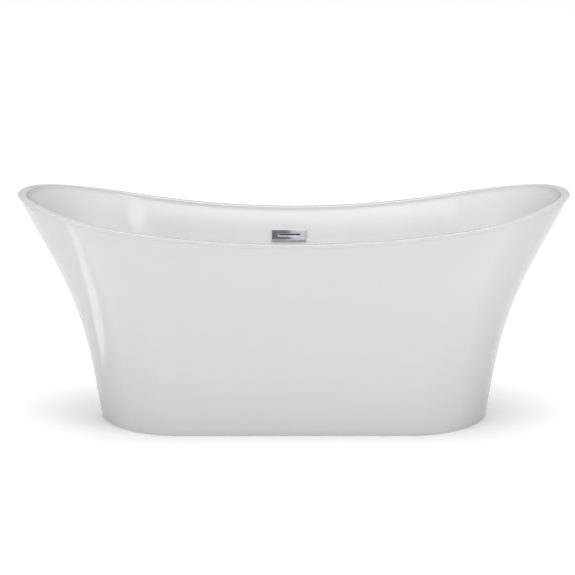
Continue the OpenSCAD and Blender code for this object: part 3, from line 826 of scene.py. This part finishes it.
def thread(low_z, high_z, radius, depth, pitch, segments=36):
    """A helical ridge that starts and ends inside its core."""
    profile = (0.0, 0.15, 1.0, 1.0)
    per_pitch = len(profile)
    turns = int((high_z - low_z) / pitch) - 1
    count = turns * per_pitch
    verts = []
    for i in range(count + 1):
        fade = min(1.0, i / per_pitch, (count - i) / per_pitch)
        r = radius - depth * 1.1 + depth * 1.1 * profile[i % per_pitch] * fade
        for k in range(segments):
            a = 2 * math.pi * k / segments
            verts.append((r * math.cos(a), r * math.sin(a),
                          low_z + pitch * (i / per_pitch + k / segments)))
    faces = []
    for i in range(count):
        for k in range(segments):
            if k < segments - 1:
                faces.append((i * segments + k, i * segments + k + 1,
                              (i + 1) * segments + k + 1, (i + 1) * segments + k))
            elif i + 1 + per_pitch <= count:
                faces.append((i * segments + k, (i + per_pitch) * segments,
                              (i + 1 + per_pitch) * segments, (i + 1) * segments + k))
    return verts, faces


def foot_stud(corner):
    """Threaded stud with a hexagonal collar."""
    node = "foot_stud_" + corner
    low, high = corners(node)
    x, y = middle_xy(low, high)
    core = STUD_R - THREAD_DEPTH
    collar_low, collar_high = 20.05 * MM, 29.05 * MM
    shank = turned([(0, low[2]), (STUD_R - 1 * MM, low[2]), (STUD_R, low[2] + 1 * MM),
                    (STUD_R, collar_high + 1.5 * MM), (core, collar_high + 2.5 * MM),
                    (core, high[2] - 0.5 * MM), (core - 0.8 * MM, high[2]), (0, high[2])], 36)
    collar_r, bevel = 9 * MM, 1.2 * MM
    collar = turned([(0, collar_low), (collar_r * 0.82, collar_low), (collar_r, collar_low + bevel),
                     (collar_r, collar_high - bevel), (collar_r * 0.82, collar_high),
                     (0, collar_high)], 6)
    ridge = thread(collar_high + 2 * MM, high[2] - 1 * MM, STUD_R, THREAD_DEPTH, THREAD_PITCH)
    obj = join(node + "_threaded", [shank, collar, ridge], ZINC)
    obj.data.set_sharp_from_angle(angle=math.radians(28))
    place(obj, (x, y, 0))
    add(obj, "stud_" + corner, "zinc_steel", node)


def foot_pad(corner):
    """Moulded pad with a boss round the stud and ribs out to its edge."""
    node = "foot_pad_" + corner
    low, high = corners(node)
    x, y = middle_xy(low, high)
    rim_r, boss_r, bore_r = high[0] - x, 11 * MM, STUD_R + 0.05 * MM
    z, top, bore_z = low[2], high[2], 7 * MM
    profile = [(0, z), (rim_r - 1 * MM, z)]
    profile += arc((rim_r - 1 * MM, z + 1 * MM), 1 * MM, -90, 0, 4)
    profile += arc((rim_r - 1.5 * MM, z + 3.5 * MM), 1.5 * MM, 0, 90, 5)
    profile += [(rim_r - 4 * MM, z + 5 * MM), (rim_r - 4.6 * MM, z + 4.2 * MM),
                (boss_r + 3 * MM, z + 4.2 * MM)]
    profile += arc((boss_r + 2 * MM, z + 6.2 * MM), 2 * MM, 270, 180, 5)
    profile += arc((boss_r - 1 * MM, top - 1 * MM), 1 * MM, 0, 90, 4)
    profile += [(bore_r + 0.6 * MM, top), (bore_r, top - 0.6 * MM), (bore_r, bore_z), (0, bore_z)]
    parts = [turned(profile, 72)]
    ribs, half = 12, 0.9 * MM
    for i in range(ribs):
        a = 2 * math.pi * (i + 0.5) / ribs
        spin = Matrix.Rotation(a, 3, "Z")
        section = [(boss_r - 1 * MM, z + 4 * MM), (rim_r - 3 * MM, z + 4 * MM),
                   (rim_r - 3 * MM, z + 5 * MM), (rim_r - 5 * MM, z + 5.6 * MM),
                   (boss_r, z + 9.6 * MM), (boss_r - 1 * MM, z + 9.6 * MM)]
        rings = [np.array([spin @ Vector((r, side, h)) for r, h in section])
                 for side in (-half, half)]
        count = len(section)
        verts = np.concatenate(rings)
        faces = [tuple(range(count)), tuple(range(2 * count - 1, count - 1, -1))]
        faces += [(k, (k + 1) % count, (k + 1) % count + count, k + count) for k in range(count)]
        parts.append((verts, faces))
    obj = join(node + "_ribbed", parts, BLACK_PLASTIC)
    obj.data.set_sharp_from_angle(angle=math.radians(40))
    place(obj, (x, y, 0))
    add(obj, "pad_" + corner, "black_plastic", node)


def foot_sole(corner):
    """Rubber disc with a rounded edge and two shallow grip grooves."""
    node = "foot_sole_" + corner
    low, high = corners(node)
    x, y = middle_xy(low, high)
    r = high[0] - x
    groove, deep = 1.2 * MM, 0.5 * MM
    profile = [(0, low[2])]
    for at in (0.45 * r, 0.72 * r):
        profile += [(at - groove, low[2]), (at - groove / 2, low[2] + deep),
                    (at + groove / 2, low[2] + deep), (at + groove, low[2])]
    profile += arc((r - 0.7 * MM, low[2] + 0.7 * MM), 0.7 * MM, -90, 0, 4)
    profile += [(r, high[2]), (0, high[2])]
    obj = join(node + "_grooved", [turned(profile, 72)], RUBBER)
    obj.data.set_sharp_from_angle(angle=math.radians(40))
    place(obj, (x, y, 0))
    add(obj, "pad_" + corner, "rubber", node)


for corner_name in ("front_left", "front_right", "back_left", "back_right"):
    foot_stud(corner_name)
    foot_pad(corner_name)
    foot_sole(corner_name)


# ---- Screws ----


def screw(head_r, head_h, shank_r, length):
    """A pan-head screw along Z: the head below z = 0 with a cross recess, the shank above."""
    profile = [(0, -head_h)] + arc((head_r - 1.2 * MM, -head_h + 1.2 * MM), 1.2 * MM, -90, 0, 5)
    profile += [(head_r, -0.1 * MM), (head_r - 0.1 * MM, 0), (shank_r, 0),
                (shank_r, length - shank_r), (0, length)]
    obj = join("screw", [turned(profile, 36)], ZINC)
    cutters = []
    for quarter in (0, 1):
        half = Vector((head_r * 0.62, 0.5 * MM, 1.1 * MM))
        verts = [(sx * half[0], sy * half[1], -head_h + sz * half[2])
                 for sx in (-1, 1) for sy in (-1, 1) for sz in (-1, 1)]
        faces = [(0, 1, 3, 2), (4, 6, 7, 5), (0, 4, 5, 1), (2, 3, 7, 6), (0, 2, 6, 4), (1, 5, 7, 3)]
        bar = new_object("cutter", verts, faces, ZINC, smooth=False)
        place(bar, matrix=Matrix.Rotation(math.pi / 2 * quarter, 4, "Z"))
        cutters.append(bar)
    cut(obj, cutters)
    return obj


def screws(name, node, places, *sizes):
    """A set of equal screws as one piece."""
    first = screw(*sizes)
    parts = []
    for place_matrix in places:
        verts = [place_matrix @ v.co for v in first.data.vertices]
        parts.append((verts, [tuple(p.vertices) for p in first.data.polygons]))
    bpy.data.objects.remove(first)
    obj = join(name, parts, ZINC)
    obj.data.set_sharp_from_angle(angle=math.radians(35))
    add(obj, "tub", "zinc_steel", node)


def hardware_screws():
    """The screws of the board, the clips and the overflow."""
    low, high = corners("board_screws")
    head_r, head_h = 5 * MM, 3 * MM
    x, y = high[0] - head_r, high[1] - head_r
    places = [Matrix.Translation((sx * x, sy * y, low[2] + head_h))
              for sx in (-1, 1) for sy in (-1, 1)]
    screws("board_screw_set", "board_screws", places, head_r, head_h, 1.95 * MM,
           high[2] - low[2] - head_h)

    low, high = corners("clip_screws")
    head_r = 4.5 * MM
    x, y, z = high[0] - head_r, high[1] - head_h, (low[2] + high[2]) / 2
    places = []
    for side in (-1, 1):
        turn_in = Matrix.Rotation(side * math.pi / 2, 4, "X")
        for sx in (-1, 1):
            places.append(Matrix.Translation((sx * x, side * y, z)) @ turn_in)
    screws("clip_screw_set", "clip_screws", places, head_r, head_h, 2.5 * MM, 3 * MM)

    face = 31 * MM              # from the inner face of the wall to the back of the overflow body
    places = [ON_WALL @ Matrix.Translation((sx * OVERFLOW_SCREW_X, face, 0))
              @ Matrix.Rotation(math.pi / 2, 4, "X") for sx in (-1, 1)]
    screws("overflow_screw_set", "overflow_screws", places, 4.5 * MM, 3 * MM, 1.95 * MM, 34 * MM)


hardware_screws()


# ---- Drain and stopper ----

DRAIN_AT = (OVERFLOW_X, 0, 0)


def drain_flange():
    """Dished chrome flange with a rounded edge, a tube and a three-armed spider."""
    low, high = corners("drain_flange")
    r, tube_r, bore_r, seat_r = high[0] - OVERFLOW_X, 22 * MM, 18 * MM, 30.5 * MM
    floor, top, seat = BASIN_FLOOR, high[2], BASIN_FLOOR + 2 * MM
    profile = [(bore_r, low[2]), (tube_r, low[2]), (tube_r, floor), (r - 0.6 * MM, floor)]
    profile += arc((r - 3 * MM, floor + 1 * MM), 3 * MM, 0, 90, 10)
    profile += arc((seat_r + 0.8 * MM, top - 0.8 * MM), 0.8 * MM, 90, 180, 5)
    profile += [(seat_r, seat + 0.6 * MM), (seat_r - 0.6 * MM, seat)]
    profile += arc((bore_r + 1.5 * MM, seat - 1.5 * MM), 1.5 * MM, 90, 180, 6)
    parts = [turned(profile, 96, closed=True)]
    hub, hub_bore, arm_z, arm_h, bevel = 8 * MM, 4 * MM, 118 * MM, 6 * MM, 0.5 * MM
    parts.append(turned([(hub_bore, arm_z), (hub - bevel, arm_z), (hub, arm_z + bevel),
                         (hub, arm_z + arm_h - bevel), (hub - bevel, arm_z + arm_h),
                         (hub_bore, arm_z + arm_h)], 36, closed=True))
    section = rounded_outline(2 * MM, arm_h / 2, 0.8 * MM, 4, 2, 2)
    arm_ends = (hub - 1 * MM, bore_r + 0.5 * MM)
    arm_middle = arm_z + arm_h / 2
    arms = 3
    for i in range(arms):
        spin = Matrix.Rotation(2 * math.pi * i / arms, 3, "Z")
        arm = [np.array([spin @ Vector((x, s[0], arm_middle + s[1])) for s in section])
               for x in arm_ends]
        parts.append(skin(arm, [tuple(spin @ Vector((x, 0, arm_middle))) for x in arm_ends]))
    obj = join("drain_flange_turned", parts, CHROME)
    obj.data.set_sharp_from_angle(angle=math.radians(35))
    place(obj, DRAIN_AT)
    add(obj, "tub", "chrome", "drain_flange")


def stopper_cap():
    """Shallow domed cap with a rounded edge and a bore for its stem."""
    low, high = corners("stopper_cap")
    r = (high[0] - low[0]) / 2
    dome_r, dome_steps = 100 * MM, 12
    edge = 1.1 * MM
    rise = dome_r - math.sqrt(dome_r**2 - (r - edge)**2)
    profile = [(0, high[2])]
    for i in range(1, dome_steps + 1):
        q = (r - edge) * i / dome_steps
        profile.append((q, high[2] - (dome_r - math.sqrt(dome_r**2 - q**2))))
    shoulder = high[2] - rise
    profile += arc((r - edge, shoulder - edge), edge, 80, -80, 8)
    profile += [(r - 3 * MM, shoulder - 2.1 * edge), (r - 3.4 * MM, low[2]), (3 * MM, low[2]),
                (2.5 * MM, low[2] + 0.5 * MM), (2.5 * MM, low[2] + 3 * MM), (0, low[2] + 3 * MM)]
    obj = join("stopper_cap_domed", [turned(profile, 128)], CHROME)
    obj.data.set_sharp_from_angle(angle=math.radians(40))
    place(obj, DRAIN_AT)
    add(obj, "stopper", "chrome", "stopper_cap")


def stopper_seal():
    """Rubber ring with round edges."""
    low, high = corners("stopper_seal")
    r, bore = (high[0] - low[0]) / 2, 20 * MM
    half = (high[2] - low[2]) / 2
    middle = (high[2] + low[2]) / 2
    profile = arc((r - half, middle), half, -90, 90, 8)
    profile += arc((bore + half, middle), half, 90, 270, 8)
    obj = new_object("stopper_seal_ring", *turned(profile, 96, closed=True), RUBBER)
    place(obj, DRAIN_AT)
    add(obj, "stopper", "rubber", "stopper_seal")


drain_flange()
stopper_cap()
stopper_seal()

# ---- Stage, camera and light ----

FLOOR_GLOW = 0.20


def stage():
    """Plain pale floor, which glows a little so that it stays even."""
    size = 60.0
    verts = [(-size, -size, 0), (size, -size, 0), (size, size, 0), (-size, size, 0)]
    m = Nodes("studio_floor")
    m.colour(m.ramp(m.noise(0.6, 2), [(0.3, (0.925, 0.925, 0.925)), (0.7, (0.935, 0.935, 0.935))]))
    m.rough(m.spread(m.noise(4, 3), 0.56, 0.66))
    m.set(Emission_Color=(1, 1, 1, 1), Emission_Strength=FLOOR_GLOW)
    floor = new_object("studio_floor", verts, [(0, 1, 2, 3)], m.material, smooth=False)


def camera():
    """Camera in front of the tub, looking slightly down."""
    distance, height = 6.5, 1.6236
    pitch, swing = 0.1848, 0.0017
    focal_px, frame_px = 2121.6, 575
    centre_px = 293.8
    data = bpy.data.cameras.new("camera")
    data.sensor_width = 36.0
    data.lens = focal_px * data.sensor_width / frame_px
    data.shift_x = (frame_px / 2 - centre_px) / frame_px
    data.clip_end = 200
    cam = bpy.data.objects.new("camera", data)
    bpy.context.collection.objects.link(cam)
    cam.location = Matrix.Rotation(-swing, 3, "Z") @ Vector((0, -distance, height))
    cam.rotation_euler = (math.pi / 2 - pitch, 0, -swing)
    bpy.context.scene.camera = cam


def area_light(name, at, look, size, radiance):
    """A softbox of a set brightness that looks at a point."""
    data = bpy.data.lights.new(name, "AREA")
    data.shape = "RECTANGLE"
    data.size, data.size_y = size
    data.energy = radiance * math.pi * size[0] * size[1]
    obj = bpy.data.objects.new(name, data)
    bpy.context.collection.objects.link(obj)
    obj.location = at
    obj.rotation_euler = (Vector(look) - Vector(at)).to_track_quat("-Z", "Y").to_euler()
    return obj


MIDDLE = (0, 0, 0.35)
INSIDE = (0, 0.1, 0.5)


def dome(azimuth, elevation, distance, target):
    """A point at a distance from the target; azimuth 0 is in front of the tub."""
    a, e = math.radians(azimuth), math.radians(elevation)
    return (target[0] + distance * math.cos(e) * math.sin(a),
            target[1] - distance * math.cos(e) * math.cos(a),
            target[2] + distance * math.sin(e))


SOFTBOXES = [
    # name, azimuth, elevation, distance, target, size, radiance
    ("front_high", 0, 62, 4.2, INSIDE, (2.6, 1.2), 1.22),
    ("front_left_high", -22, 60, 4.2, INSIDE, (1.8, 1.2), 0.32),
    ("front_right_high", 22, 55, 4.2, INSIDE, (1.8, 1.2), 1.50),
    ("front_right_higher", 30, 52, 4.5, MIDDLE, (1.6, 1.4), 1.0),
    ("overhead_front", 10, 75, 3.6, INSIDE, (1.8, 1.2), 0.24),
    ("right_low", 40, 22, 4.5, MIDDLE, (1.8, 1.6), 0.36)]
OVERHEAD = [
    # name, at, look, size, radiance
    ("key", (0.415, -3.4, 3.9), (0.415, 0.32, 0.5), (0.84, 1.2), 0.74),
    ("inside", (0.2, -1.6, 3.4), (0.1, 0.35, 0.5), (2.4, 1.0), 1.15),
    ("top", (0, 0, 3.4), MIDDLE, (3.0, 1.6), 0.20),
    ("top_left", (-2.0, 0.3, 3.0), (-0.4, 0, 0.4), (1.6, 1.6), 0.09),
    ("top_right", (2.0, 0.3, 3.0), (0.4, 0, 0.4), (1.6, 1.6), 0.16)]
STRIP_AT = (-1.18, -0.07, 0.012)
STRIP_ABOVE = (-1.18, -0.07, 1)
STRIP_SIZE = (0.52, 0.16)
STRIP_RADIANCE = 1.5
STRIP_TURN = math.radians(54)
SKY_EVEN = 0.12
SKY_LOBES = [
    # direction, power, strength
    ((0, 0, 1), 8, 3.40),
    ((-1, 0, 0.2), 2, 0.24),
    ((0, 1, 0.15), 2, 0.42)]


def sky():
    """Soft surroundings: an even glow and one wide lobe of light for each direction listed."""
    world = bpy.data.worlds.new("studio")
    bpy.context.scene.world = world
    world.use_nodes = True
    tree = world.node_tree
    back = tree.nodes["Background"]
    back.inputs["Color"].default_value = (1, 1, 1, 1)
    where = tree.nodes.new("ShaderNodeTexCoord").outputs["Generated"]
    total = None
    for axis, power, strength in SKY_LOBES:
        dot = tree.nodes.new("ShaderNodeVectorMath")
        dot.operation = "DOT_PRODUCT"
        dot.inputs[1].default_value = Vector(axis).normalized()
        tree.links.new(where, dot.inputs[0])
        value = dot.outputs["Value"]
        for operation, amount in (("MAXIMUM", 0), ("POWER", power), ("MULTIPLY", strength)):
            step = tree.nodes.new("ShaderNodeMath")
            step.operation = operation
            step.inputs[1].default_value = amount
            tree.links.new(value, step.inputs[0])
            value = step.outputs[0]
        # The even glow goes in with the first lobe, and each later lobe adds to the sum so far
        add_up = tree.nodes.new("ShaderNodeMath")
        add_up.operation = "ADD"
        add_up.inputs[1].default_value = SKY_EVEN
        tree.links.new(value, add_up.inputs[0])
        if total is not None:
            tree.links.new(total, add_up.inputs[1])
        total = add_up.outputs[0]
    tree.links.new(total, back.inputs["Strength"])


def light():
    """Softboxes, one low strip at the left, and the sky."""
    for name, azimuth, elevation, distance, target, size, radiance in SOFTBOXES:
        area_light(name, dome(azimuth, elevation, distance, target), target, size, radiance)
    for name, at, look, size, radiance in OVERHEAD:
        area_light(name, at, look, size, radiance)
    strip = area_light("strip_left", STRIP_AT, STRIP_ABOVE, STRIP_SIZE, STRIP_RADIANCE)
    strip.rotation_euler = (math.pi, 0, STRIP_TURN)
    sky()
    bpy.context.scene.view_settings.view_transform = "Standard"


stage()
camera()
light()
